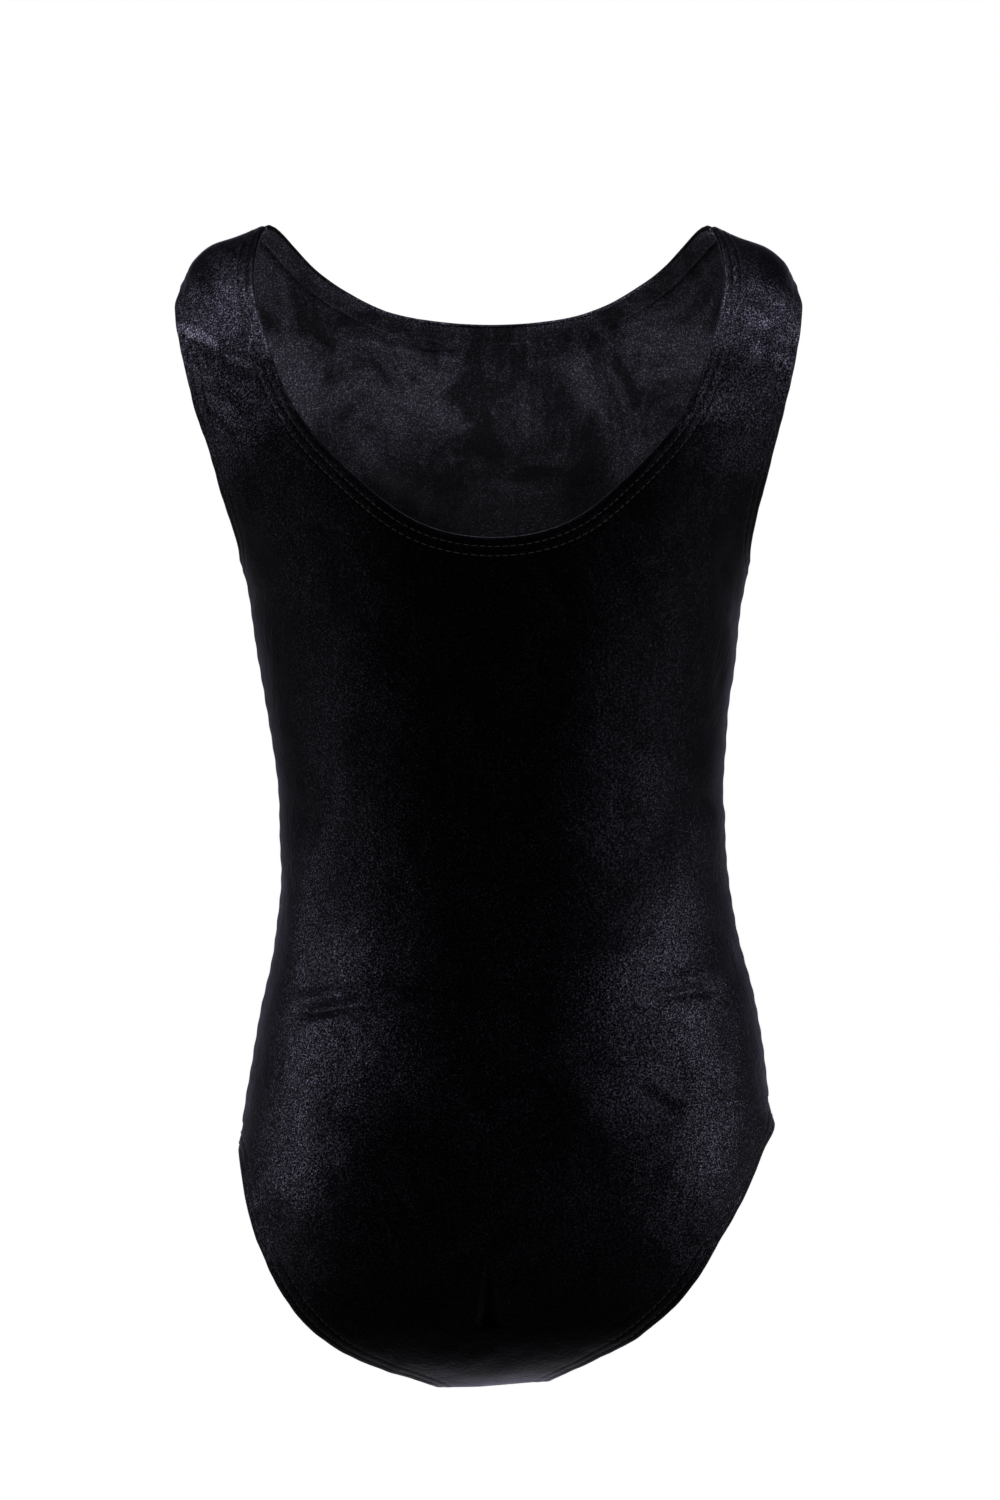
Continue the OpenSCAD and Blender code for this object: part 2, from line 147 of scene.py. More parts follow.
def bare(side, q):
    """Points that the stations give at q, an array of [h, phi]."""
    h, phi = q[:, 0], np.radians(q[:, 1])
    i = np.clip(np.floor(h).astype(int), -1, TOP_H)
    rows = LONG_LINES[side]
    k = i + SPARE
    s = blend4(rows[k - 1], rows[k], rows[k + 1], rows[k + 2], (h - i)[:, None])
    back = s[:, 4] * (1 - np.cos(phi))
    tilt = np.radians(s[:, 2])
    x = s[:, 3] * np.sin(phi)
    y = s[:, 0] - side * back * np.cos(tilt)
    z = s[:, 1] + back * np.sin(tilt)
    return np.stack([x, y, z], axis=1)


def sheet(side, q):
    """Points of the bare sheet, with its side seams drawn to the plane y = 0."""
    p = bare(side, q)
    on_seam = (q[:, 0] > LEG_H) & (q[:, 0] < ARM_H)
    beside = bare(side, np.stack([q[:, 0], np.full(len(q), 90.0)], axis=1))
    p[:, 1] -= np.where(on_seam, beside[:, 1] * smooth((q[:, 1] - 55) / 35), 0)
    return p


def slopes(side, q):
    """How the sheet's points move along h and along phi."""
    dh, dp = np.array([0.01, 0.0]), np.array([0.0, 0.5])
    return (
        (sheet(side, q + dh) - sheet(side, q - dh)) / (2 * dh[0]),
        (sheet(side, q + dp) - sheet(side, q - dp)) / (2 * dp[1]),
    )


def unit(v):
    """Vectors v at length one."""
    return v / np.linalg.norm(v, axis=-1, keepdims=True)


def smooth(t):
    """From 0 at t = 0 to 1 at t = 1 without a corner, and level beyond."""
    t = np.clip(t, 0, 1)
    return t * t * (3 - 2 * t)


# ---- what the cloth does: seams, creases, ripples, and how it hangs ----


def waves(p, length, count, seed):
    """Smooth unevenness about one wavelength across, from -1 to 1 or so."""
    rng = np.random.default_rng(seed)
    directions = unit(rng.normal(size=(count, 3)))
    stretch = rng.uniform(0.7, 1.4, size=count)
    starts = rng.uniform(0, 2 * math.pi, size=count)
    angles = p @ (directions * (2 * math.pi / length * stretch)[:, None]).T + starts
    return np.sin(angles).sum(axis=1) * math.sqrt(2 / count) / 1.4


# Creases: panel, start x and z, end x and z, width, depth.
CREASES = [
    (FRONT, -92, 172, -66, 176, 2.6, 2.6),
    (FRONT, -70, 177, -42, 174, 2.6, 1.5),
    (FRONT, 62, 176, 94, 179, 3.0, 1.8),
    (FRONT, 60, 132, 78, 122, 2.6, 1.7),
    (FRONT, 90, 128, 102, 124, 2.6, 1.5),
    (FRONT, -22, 61, -6, 66, 5.0, 0.8),
    (FRONT, 8, 64, 24, 60, 5.0, 0.6),
    (FRONT, -138, 472, -122, 465, 2.4, 2.2),
    (FRONT, -118, 458, -104, 455, 2.2, 1.5),
    (FRONT, -126, 440, -112, 428, 3.0, 0.7),
    (FRONT, 104, 481, 126, 472, 3.0, 1.2),
    (FRONT, 118, 462, 132, 452, 3.0, 0.9),
    (FRONT, -112, 384, -96, 362, 5.0, 0.9),
    (FRONT, 112, 388, 98, 360, 5.0, 0.9),
    (FRONT, -98, 262, -80, 254, 5.0, 0.7),
    (FRONT, 99, 268, 80, 258, 5.0, 0.7),
    (BACK, -62, 474, -30, 466, 2.6, 2.4),
    (BACK, -40, 468, -12, 464, 2.2, 2.0),
    (BACK, -84, 480, -56, 468, 2.6, 1.8),
    (BACK, 14, 462, 46, 469, 2.6, 1.5),
    (BACK, -70, 428, -46, 404, 5.0, 1.1),
    (BACK, -58, 412, -30, 394, 5.0, 1.1),
    (BACK, 52, 424, 30, 398, 5.0, 1.0),
    (BACK, -84, 248, -30, 236, 7.0, 1.6),
    (BACK, 84, 246, 26, 232, 7.0, 1.6),
    (BACK, -70, 224, 10, 214, 7.0, 1.2),
    (BACK, 66, 222, -6, 204, 7.0, 1.0),
    (BACK, 2, 70, 0, 22, 8.0, 1.2),
]


def crease(p, x0, z0, x1, z1, width, depth):
    """A groove along a line seen from the front, with a low lip above it."""
    along = np.array([x1 - x0, z1 - z0])
    length = np.linalg.norm(along)
    along = along / length
    from_start = p[:, [0, 2]] - [x0, z0]
    u = from_start @ along / length
    v = from_start @ np.array([-along[1], along[0]])
    taper = smooth(u * 2.5 + 0.35) * smooth((1 - u) * 2.5 + 0.35)
    groove = np.exp(-((v / width) ** 2))
    lip = 0.55 * np.exp(-(((v - 1.9 * width) / (1.3 * width)) ** 2))
    return depth * taper * (lip - groove)


PLEAT = {"x": -2.0, "top": 62.0, "bottom": 33.0, "width": 5.5, "depth": 5.5}


def pleat(p):
    """The small pinched pleat above the crotch: a wedge, deepest at its foot,
    with a steep left side."""
    down = (PLEAT["top"] - p[:, 2]) / (PLEAT["top"] - PLEAT["bottom"])
    size = np.clip(down, 0, 1)
    foot = smooth((1.08 - down) / 0.12)
    across = (p[:, 0] - PLEAT["x"]) / (1.6 + PLEAT["width"] * size)
    groove = np.where(across < 0, smooth(1 + across / 0.75), smooth(1 - across / 1.25))
    return -PLEAT["depth"] * size**0.8 * foot * groove


SEAM_IN = 0.95                     # how deep a seam lies below the cloth beside it
SEAM_HALF = 1.3                    # half width of the groove


def seam_depth(p):
    """How far the cloth is drawn in at the side, shoulder and crotch seams."""
    side = smooth((np.abs(p[:, 0]) - 80) / 10) * smooth((p[:, 2] - 80) / 10)
    side = side * smooth((400 - p[:, 2]) / 10) * np.exp(-((p[:, 1] / SEAM_HALF) ** 2))
    shoulder = np.exp(-(((p[:, 1] - RIDGE_Y) / SEAM_HALF) ** 2))
    shoulder = smooth((p[:, 2] - 470) / 10) * shoulder
    crotch = smooth((20 - p[:, 2]) / 10) * np.exp(-(((p[:, 1] - CROTCH_Y) / 1.2) ** 2))
    return SEAM_IN * np.maximum(np.maximum(side, shoulder), crotch)


PUCKER = 9.5                       # from one pucker to the next


def puckers(p):
    """Short ripples that a seam's thread draws into the cloth beside it."""
    on_side = smooth((np.abs(p[:, 0]) - 80) / 10) * smooth((p[:, 2] - 95) / 15)
    near = on_side * np.exp(-((p[:, 1] / 9) ** 2)) * smooth((385 - p[:, 2]) / 15)
    turn = p[:, 2] / PUCKER * 2 * math.pi
    return 0.16 * near * np.sin(turn + 1.4 * np.sin(p[:, 2] / 31))


def behind_pleat(p):
    """The lining hangs clear behind the pleat."""
    away = ((p[:, 0] - PLEAT["x"] - 1) / 11) ** 2 + ((p[:, 2] - 44) / 17) ** 2
    return -(PLEAT["depth"] + 0.8) * np.exp(-(away**2))


def relief(side, p, lining=False):
    """How far the cloth stands off the bare sheet at p."""
    away = 0.55 * waves(p, 95, 9, 3) + 0.22 * waves(p, 38, 12, 4) + 0.05 * waves(p, 14, 14, 5)
    for panel, *numbers in CREASES:
        if panel == side:
            away = away + crease(p, *numbers)
    if side == FRONT:
        away = away + (behind_pleat(p) if lining else pleat(p))
    return away - seam_depth(p) + puckers(p)


# How far the garment leans to the right at heights above the crotch.
LEAN_Z = [-20, 10, 30, 60, 90, 112, 150, 200, 250, 320, 372, 450, 520, 560]
LEAN_X = [0, -0.5, -1.5, -1, 2, 5, 6, 5.5, 4, 1.5, 0, -2, -2.5, -2.5]
TILT = math.tan(math.radians(3.0))  # how far the hem line tips, low on the left


def hang(p):
    """The garment's own lean, which is not quite even from side to side: the hem
    tips, the strap tips are drawn in and stand up, and the right hip flares."""
    x, y, z = p.T
    lean = np.interp(z, LEAN_Z, LEAN_X)
    drop = TILT * x * (1 - smooth((z - 105) / 130))
    tip = 3.0 * np.sign(x) * smooth((np.abs(x) - 132) / 10) * smooth((z - 484) / 10)
    crown = 3.5 * np.exp(-(((np.abs(x) - 127) / 11) ** 2)) * smooth((z - 480) / 14)
    flare = 2.0 * smooth((x - 108) / 12) * np.exp(-(((z - 110) / 6) ** 2))
    return np.stack([x + lean - tip + flare, y, z + drop + crown], axis=1)


def cloth(side, q, lift=0.0, lining=False):
    """Places q of a panel, raised by lift millimetres, in the frame in metres."""
    q = np.asarray(q, float)
    p = sheet(side, q)
    sh, sp = slopes(side, q)
    n = side * unit(np.cross(sh, sp))
    lift = np.broadcast_to(np.asarray(lift, float), (len(q),))
    p = hang(p + n * (lift + relief(side, p, lining))[:, None])
    return (p - [0, RIDGE_Y, -LOW_Z]) * MM


# ---- cut edges ----

FINE = 600                         # samples along an edge


def edge_table(side, kind):
    """Evenly spaced places along an edge, and the step [h, phi] that goes one
    millimetre into the panel from each."""
    points = np.array(EDGES[side, kind], float)
    last = len(points) - 1
    t = np.linspace(0, last, FINE)
    i = np.minimum(t.astype(int), last - 1)
    first = np.array([points[1][0], 2 * points[0][1] - points[1][1]])
    padded = np.vstack([first, points, 2 * points[-1] - points[-2]])
    q = blend4(padded[i], padded[i + 1], padded[i + 2], padded[i + 3], (t - i)[:, None])
    p = sheet(side, q)
    run = np.concatenate([[0], np.cumsum(np.linalg.norm(np.diff(p, axis=0), axis=1))])
    even = np.linspace(0, run[-1], FINE)
    q = np.stack([np.interp(even, run, q[:, 0]), np.interp(even, run, q[:, 1])], axis=1)
    sh, sp = slopes(side, q)
    n = side * unit(np.cross(sh, sp))
    tangent = unit(np.gradient(sheet(side, q), axis=0))
    inward = np.cross(n, tangent)
    e, f, g = (sh * sh).sum(1), (sh * sp).sum(1), (sp * sp).sum(1)
    b1, b2 = (inward * sh).sum(1), (inward * sp).sum(1)
    step = np.stack([g * b1 - f * b2, e * b2 - f * b1], axis=1) / (e * g - f * f)[:, None]
    wanted = 1 if kind == "neck" else -1
    step = step * wanted * np.sign(step[FINE // 2, 1])
    square = np.stack([np.zeros(FINE), wanted / np.sqrt(g)], axis=1)
    near_end = smooth((even / run[-1] - 0.9) / 0.1)[:, None]
    step = step * (1 - near_end) + square * near_end
    upright = np.stack([(1 if kind == "leg" else -1) / np.sqrt(e), np.zeros(FINE)], axis=1)
    near_start = smooth(1 - even / (0.06 * run[-1]))[:, None]
    return q, step * (1 - near_start) + upright * near_start, run[-1]


TABLES = {key: edge_table(*key) for key in EDGES}


def along_edge(side, kind, s, into=0.0):
    """Places at fractions s of an edge, into millimetres inside the panel."""
    q, step, _ = TABLES[side, kind]
    x = np.asarray(s, float) * (FINE - 1)
    grid = np.arange(FINE)
    at = np.stack([np.interp(x, grid, q[:, 0]), np.interp(x, grid, q[:, 1])], axis=1)
    by = np.stack([np.interp(x, grid, step[:, 0]), np.interp(x, grid, step[:, 1])], axis=1)
    return at + by * np.reshape(into, (-1, 1))


def flipped(q, half):
    """Places q of the right half, or their mirror places on the left."""
    return q * [1, half]


# ---- meshes ----


def grid_faces(rows, columns, flip):
    """The four-cornered faces of a grid of points, wound the other way if flip."""
    a = np.arange(rows - 1)[:, None] * columns + np.arange(columns - 1)[None, :]
    corners = [a, a + 1, a + columns + 1, a + columns]
    if flip:
        corners.reverse()
    return np.stack(corners, axis=-1).reshape(-1, 4)


def make_piece(name, verts, faces, materials):
    """A new object that rides on the one body."""
    mesh = bpy.data.meshes.new(name)
    mesh.from_pydata(verts.tolist(), [], [list(f) for f in faces])
    mesh.polygons.foreach_set("use_smooth", [True] * len(mesh.polygons))
    piece = bpy.data.objects.new(name, mesh)
    bpy.context.scene.collection.objects.link(piece)
    for material in materials:
        mesh.materials.append(material)
    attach(piece, "root")
    return piece


def welded(verts, faces, kinds, close=1e-6):
    """Joins points that lie in one place, and drops faces that this flattens."""
    keys = np.round(verts / close).astype(np.int64)
    _, first, index = np.unique(keys, axis=0, return_index=True, return_inverse=True)
    faces = index.reshape(-1)[faces].tolist()
    kept = [k for k, f in enumerate(faces) if len(set(f)) == len(f)]
    return verts[first], [faces[k] for k in kept], kinds[kept]


class Builder:
    """Collects patches and tubes into one mesh. kinds are material numbers."""

    def __init__(self):
        self.verts = []
        self.faces = []
        self.kinds = []
        self.count = 0

    def add(self, verts, faces, kinds=0):
        self.verts.append(verts)
        self.faces.append(np.asarray(faces) + self.count)
        self.kinds.append(np.broadcast_to(kinds, len(faces)))
        self.count += len(verts)

    def arrays(self):
        return np.vstack(self.verts), np.vstack(self.faces)


# ---- the two panels ----

LEG_ROWS, SIDE_ROWS, ARM_ROWS = 84, 140, 70
CORNER_LEG = LEG_ROWS
CORNER_ARM = LEG_ROWS + SIDE_ROWS
LAST_ROW = CORNER_ARM + ARM_ROWS
NECK_ROW = {FRONT: CORNER_ARM, BACK: CORNER_ARM + ARM_ROWS // 2}

# The hem in section: distance from the edge and lift of the cloth's middle, out
# along the outside, round the fold over the elastic, and back on the inside.
FOLD_R = 0.88                      # radius of the fold
FOLD_AT = 1.35                     # and its centre's distance from the edge
HEM_SECTION = (
    [(BAND, 0), (11, 0), (10, -0.01), (9.2, -0.05), (8.7, -0.11), (8.3, -0.16), (7.9, -0.11)]
    + [(7.3, 0.0), (6.3, 0.07), (5.3, 0.01), (4.6, -0.1), (4.2, -0.16), (3.8, -0.1)]
    + [(3.1, 0.03), (2.2, 0.06)]
    + [
        (FOLD_AT - FOLD_R * math.sin(math.radians(a)), FOLD_R * (math.cos(math.radians(a)) - 1))
        for a in (0, 30, 60, 90, 120, 150, 180)
    ]
    + [(2.4, -1.95), (3.5, -1.84), (4.2, -1.66), (4.9, -1.84), (6.2, -2.02)]
    + [(7.5, -1.88), (8.3, -1.68), (8.9, -1.84), (HEM, -1.98)]
)
TURNED = 21                        # place in the section where the inside begins


def crowded(count, near_start, near_end):
    """Fractions from 0 to 1, with the given distances added near each end."""
    even = np.linspace(0, 1, count)
    inside = even[(even > max(near_start, default=0)) & (even < 1 - max(near_end, default=0))]
    return np.unique(np.concatenate([[0, 1], near_start, inside, 1 - np.array(near_end)]))


# Columns of a half panel, closer at the middle for the pleat and at the hems.
CENTRE = [0.007 * k for k in range(1, 15)]
ACROSS = crowded(58, CENTRE, [0.0015, 0.004, 0.008, 0.014, 0.022])
FIRST_STEP = 0.03                  # the longer step that rows take first along an edge
OVERSHOOT = 1.6                    # how strongly rows turn as they come to a hem


def edge_places(count):
    """Fractions of an edge, with a longer step first: there rows and hem both
    leave the seam or centre squarely and would run into each other."""
    return np.concatenate([[0], np.linspace(FIRST_STEP, 1, count)])


def centre_ends(side):
    """The inner end of every row of a half panel."""
    first = NECK_ROW[side]
    low = along_edge(side, "neck", [0], BAND)[0, 0]
    i = np.arange(first)
    leg = along_edge(side, "leg", edge_places(LEG_ROWS)[::-1], BAND)[:, 0]
    nominal = np.where(
        i <= CORNER_LEG,
        LEG_H * leg[np.minimum(i, CORNER_LEG)] / leg[-1],
        LEG_H + (ARM_H - LEG_H) * (i - CORNER_LEG) / SIDE_ROWS,
    )
    beside_arm = ARM_H + (TOP_H - ARM_H) * (i - CORNER_ARM) / ARM_ROWS
    nominal = np.where(i > CORNER_ARM, beside_arm, nominal)
    top = ARM_H if side == FRONT else ARM_H + (TOP_H - ARM_H) / 2
    below = np.stack([nominal * low / top, np.zeros(first)], axis=1)
    s = edge_places(LAST_ROW - first)
    return np.vstack([below, along_edge(side, "neck", s, BAND)])


def outer_ends(side):
    """The outer end of every row of a half panel."""
    leg = along_edge(side, "leg", edge_places(LEG_ROWS)[::-1], BAND)
    arm = along_edge(side, "arm", edge_places(ARM_ROWS), BAND)
    t = np.arange(1, SIDE_ROWS)[:, None] / SIDE_ROWS
    return np.vstack([leg, leg[-1] * (1 - t) + arm[0] * t, arm])


def ripple(s, length, seed):
    """Small unevenness along a hem, which the elastic gathers a little."""
    rng = np.random.default_rng(seed)
    starts = rng.uniform(0, 2 * math.pi, size=4)
    run = s * length
    steps = (41.0, 23.0, 13.0, 7.5)
    sizes = (0.5, 0.35, 0.3, 0.16)
    return sum(a * np.sin(2 * math.pi * run / w + o) for a, w, o in zip(sizes, steps, starts))


SEEDS = {"neck": 11, "arm": 12, "leg": 13}
RIPPLE = 0.3                       # height of the ripple


def hem_lift(side, kind, half, s, into):
    """The ripple of a hem at distance into from its edge, none at its ends."""
    length = TABLES[side, kind][2]
    fade = smooth(s * 8 - 1) * smooth(7 - s * 8) * smooth((26 - np.abs(into)) / 22)
    seed = SEEDS[kind] * 10 + side + 3 * half
    return RIPPLE * fade * ripple(s, length, seed)


def hem_patch(side, kind, half, s):
    """A grid of points along an edge: one row of the hem's section for each s."""
    into, lift = np.tile(np.array(HEM_SECTION), (len(s), 1)).T
    s = np.repeat(s, len(HEM_SECTION))
    q = along_edge(side, kind, s, into)
    return cloth(side, flipped(q, half), BASE + lift + hem_lift(side, kind, half, s, into))


def panel_mesh(side):
    """The middle surface of a panel, with its hems turned in."""
    b = Builder()
    inner, outer = centre_ends(side), outer_ends(side)
    n, m = len(inner), len(ACROSS)
    q = inner[:, None] + (outer - inner)[:, None] * ACROSS[None, :, None]
    # the rows overshoot a little, and so meet the hems at an angle
    q[:, :, 0] += OVERSHOOT * (outer - inner)[:, :1] * ACROSS**5 * (1 - ACROSS)
    q = q.reshape(-1, 2)
    k = len(HEM_SECTION)
    rows_of = {
        "neck": (edge_places(n - 1 - NECK_ROW[side]), NECK_ROW[side]),
        "leg": (edge_places(LEG_ROWS)[::-1], 0),
        "arm": (edge_places(ARM_ROWS), CORNER_ARM),
    }
    for half in HALVES:
        flip = half * side > 0
        lift = np.full((n, m), BASE)
        for kind, (s, start) in rows_of.items():
            edge_ripple = hem_lift(side, kind, half, s, BAND)
            reach = ACROSS if kind == "neck" else 1 - ACROSS
            fade = smooth(1 - reach / 0.12)
            lift[start : start + len(s)] += edge_ripple[:, None] * fade[None, :]
            patch = hem_patch(side, kind, half, s)
            order = np.arange(len(patch)).reshape(len(s), k)
            turned = np.arange(k - 1) >= TURNED
            if kind == "neck":
                order, turned = order[:, ::-1], turned[::-1]
            kinds = np.tile(turned, len(s) - 1).astype(int)
            b.add(patch[order.ravel()], grid_faces(len(s), k, flip), kinds)
        b.add(cloth(side, flipped(q, half), lift.ravel()), grid_faces(n, m, flip))
    return welded(*b.arrays(), np.concatenate(b.kinds))


def thicken(piece, thickness, inner_material=0):
    """Gives a sheet its thickness, half of it to each side."""
    solid = piece.modifiers.new("thickness", "SOLIDIFY")
    solid.thickness = thickness * MM
    solid.offset = 0
    solid.use_even_offset = False
    solid.material_offset = inner_material
    solid.material_offset_rim = 0


# ---- threads ----

SLANT = np.array([0.31, 0.124, 1.0])  # sets how the corners of a tube are turned


def tube(path, radius, sides=5, closed=False):
    """A round tube along a path: a ring if closed, or else open at its ends."""
    ahead = np.roll(path, -1, axis=0) - np.roll(path, 1, axis=0)
    if not closed:
        ahead[0], ahead[-1] = path[1] - path[0], path[-1] - path[-2]
    ahead = unit(ahead)
    across = unit(np.cross(ahead, SLANT))
    other = np.cross(ahead, across)
    a = np.arange(sides) * 2 * math.pi / sides
    ring = across[:, None] * np.cos(a)[None, :, None] + other[:, None] * np.sin(a)[None, :, None]
    radius = np.broadcast_to(radius, (len(path),))
    verts = path[:, None] + ring * radius[:, None, None]
    n = len(path)
    faces = []
    for i in range(n if closed else n - 1):
        for j in range(sides):
            j2, i2 = (j + 1) % sides, (i + 1) % n
            faces.append([i * sides + j, i * sides + j2, i2 * sides + j2, i2 * sides + j])
    return verts.reshape(-1, 3), np.array(faces)


def closed_tube(path, radius, sides=5):
    """A tube whose ends are closed by triangles, given as faces of four corners
    with the last one doubled."""
    verts, faces = tube(path, radius, sides)
    n = len(verts)
    ends = np.array([path[0], path[-1]])
    last = n - sides
    caps = []
    for j in range(sides):
        j2 = (j + 1) % sides
        caps.append([j2, j, n, n])
        caps.append([last + j, last + j2, n + 1, n + 1])
    return np.vstack([verts, ends]), np.vstack([faces, np.array(caps)])


def thread_piece(name, threads):
    """One piece from a Builder of tubes."""
    verts, faces = threads.arrays()
    faces = [list(dict.fromkeys(f)) for f in faces.tolist()]
    return make_piece(name, verts, faces, [THREAD])


def ring_of(kind, half):
    """The edges that make up one opening, in order, with the way each runs."""
    if kind == "neck":
        return [(FRONT, RIGHT, 1), (BACK, RIGHT, -1), (BACK, LEFT, 1), (FRONT, LEFT, -1)]
    return [(FRONT, half, 1), (BACK, half, -1)]


def ring_lengths(kind, half):
    """The length of each edge of an opening."""
    return np.array([TABLES[side, kind][2] for side, _, _ in ring_of(kind, half)])


def along_ring(kind, half, fractions, into, lift):
    """Points round an opening. fractions run from 0 to 1 once round it."""
    lengths = ring_lengths(kind, half)
    ends = np.concatenate([[0], np.cumsum(lengths)]) / lengths.sum()
    fractions = np.mod(fractions, 1.0)
    into = np.broadcast_to(into, fractions.shape)
    lift = np.broadcast_to(lift, fractions.shape)
    points = np.zeros((len(fractions), 3))
    for k, (side, h, way) in enumerate(ring_of(kind, half)):
        here = (fractions >= ends[k]) & (fractions <= ends[k + 1])
        s = (fractions[here] - ends[k]) / (ends[k + 1] - ends[k])
        s = s if way > 0 else 1 - s
        q = along_edge(side, kind, s, into[here])
        rise = lift[here] + hem_lift(side, kind, h, s, into[here])
        points[here] = cloth(side, flipped(q, h), rise)
    return points


STITCH = 3.3                       # from one needle hole to the next
THREAD_R = 0.16
LOOPER_R = 0.12
LOOPER_LIFT = -3.05                # the looper lies on the hem's inner side
LOOPER_STEPS = 8                   # points for each stitch

# One needle stitch lies on the cloth and dives at both ends: places along it and
# how high it runs there.
ALONG_STITCH = np.array([0.1, 0.18, 0.32, 0.5, 0.68, 0.82, 0.9])
STITCH_LIFT = np.array([-0.3, -0.08, 0.03, 0.06, 0.03, -0.08, -0.3]) - THREAD_R


def topstitching(name, kind, half):
    """Two rows of needle stitches outside, and the looper thread inside."""
    b = Builder()
    count = int(round(ring_lengths(kind, half).sum() / STITCH))
    places = ((np.arange(count)[:, None] + ALONG_STITCH[None, :]) / count).ravel()
    lifts = np.tile(STITCH_LIFT, count)
    for row in ROWS_OF_STITCHES:
        for path in along_ring(kind, half, places, row, lifts).reshape(count, -1, 3):
            b.add(*closed_tube(path, THREAD_R * MM))
    u = np.arange(count * LOOPER_STEPS) / (count * LOOPER_STEPS)
    swing = 0.5 - 0.5 * np.cos(2 * math.pi * u * count)
    low, high = ROWS_OF_STITCHES
    looper = along_ring(kind, half, u, low + (high - low) * swing, LOOPER_LIFT)
    b.add(*tube(looper, LOOPER_R * MM, 4, closed=True))
    return thread_piece(name, b)


# ---- elastic, seams and lining ----

ELASTIC_EDGES = (1.5, 8.0)         # distance of its two edges from the hem's edge
ELASTIC_LIFTS = (-1.17, -1.6)      # its outer and inner face
ELASTIC_RIBS = 11
ELASTIC_STEP = 3.0
INSIDE_HEM = HEM + 0.6             # seams and lining end just clear of the hem


def face_outwards(mesh):
    """Turns the faces of a closed mesh round if they look inwards."""
    solid = bmesh.new()
    solid.from_mesh(mesh)
    if solid.calc_volume(signed=True) < 0:
        bmesh.ops.reverse_faces(solid, faces=solid.faces)
    solid.to_mesh(mesh)
    solid.free()


def strip_solid(name, outline, materials, closed=False):
    """A solid from rows of section points, an array of rows by points by 3."""
    n, m, _ = outline.shape
    faces = []
    for i in range(n if closed else n - 1):
        for j in range(m):
            i2, j2 = (i + 1) % n, (j + 1) % m
            faces.append([i * m + j, i * m + j2, i2 * m + j2, i2 * m + j])
    if not closed:
        faces.append(list(range(m))[::-1])
        faces.append([(n - 1) * m + j for j in range(m)])
    piece = make_piece(name, outline.reshape(-1, 3), faces, materials)
    face_outwards(piece.data)
    return piece


def elastic_ring(name, kind, half):
    """A narrow ribbed elastic inside the hem."""
    count = int(ring_lengths(kind, half).sum() / ELASTIC_STEP)
    u = np.arange(count) / count
    across = np.linspace(*ELASTIC_EDGES, ELASTIC_RIBS)
    into = np.concatenate([across, across[::-1]])
    ribs = 0.05 * np.cos(np.arange(ELASTIC_RIBS) * math.pi)
    lift = np.concatenate([ELASTIC_LIFTS[0] + ribs, ELASTIC_LIFTS[1] - ribs[::-1]])
    rows = [along_ring(kind, half, u, i, l) for i, l in zip(into, lift)]
    return strip_solid(name, np.stack(rows, axis=1), [ELASTIC], closed=True)


def seam_places(kind, half, s):
    """Places on a seam, from one end to the other, and steps away from it into
    the back panel, one millimetre long."""
    if kind == "side":
        low = along_edge(BACK, "leg", [0], INSIDE_HEM)[0]
        high = along_edge(BACK, "arm", [0], INSIDE_HEM)[0]
    elif kind == "shoulder":
        low = along_edge(BACK, "neck", [1], INSIDE_HEM)[0]
        high = along_edge(BACK, "arm", [1], INSIDE_HEM)[0]
    else:
        high = along_edge(BACK, "leg", [1], INSIDE_HEM)[0]
        low = high * [1, -1]
    q = low * (1 - s[:, None]) + high * s[:, None]
    sh, sp = slopes(BACK, q)
    if kind == "side":
        step = np.stack([0 * s, -1 / np.linalg.norm(sp, axis=1)], axis=1)
    else:
        sign = -1 if kind == "shoulder" else 1
        step = np.stack([sign / np.linalg.norm(sh, axis=1), 0 * s], axis=1)
    return q * [1, half], step * [1, half]


SEAM_SECTION = [(0.15, -1.15), (2.0, -1.12), (4.2, -1.15), (5.6, -1.25), (6.0, -1.6)]
SEAM_SECTION += [(5.9, -2.2), (5.2, -2.5), (3.2, -2.62), (1.2, -2.5), (0.15, -2.3)]
OVERSEWING = 2.4                   # from one loop of the oversewing to the next
LOOP_POINTS = 10                   # points for each loop
LINING_DROP = -1.75                # the crotch seam lies below the lining


def waver(run):
    """How the trimmed edge of an allowance wanders along the seam."""
    return 0.25 * np.sin(run / 11) + 0.18 * np.sin(run / 4.1)


def seam_piece(name, kind, half, length):
    """Two trimmed allowances laid to the back, with their oversewing."""
    lower = LINING_DROP if kind == "crotch" else 0.0
    s = np.linspace(0, 1, max(12, int(length / 2.2)))
    q, step = seam_places(kind, half, s)
    rows = []
    for into, lift in SEAM_SECTION:
        push = into + (waver(s * length) if into > 3 else 0)
        rows.append(cloth(BACK, q + step * np.reshape(push, (-1, 1)), lift + lower))
    body = strip_solid(name, np.stack(rows, axis=1), [VELVET])
    threads = Builder()
    count = int(length / OVERSEWING)
    u = np.arange(count * LOOP_POINTS + 1) / (count * LOOP_POINTS)
    q, step = seam_places(kind, half, u)
    angle = 2 * math.pi * u * count
    into = 4.1 + 2.2 * np.cos(angle) + waver(u * length)
    loops = cloth(BACK, q + step * into[:, None], -1.9 - 0.95 * np.sin(angle) + lower)
    threads.add(*closed_tube(loops, THREAD_R * MM))
    into = 6.25 + waver(u * length)
    chain = cloth(BACK, q + step * into[:, None], -1.9 + 0.12 * np.cos(angle) + lower)
    threads.add(*closed_tube(chain, 0.2 * MM))
    return body, thread_piece(name + "_thread", threads)


LINING_LIFT = -1.55                # the lining lies just inside the velvet
LINING_T = 0.5
LINING_DIP = 0.25                  # how far its top edge dips, in stations


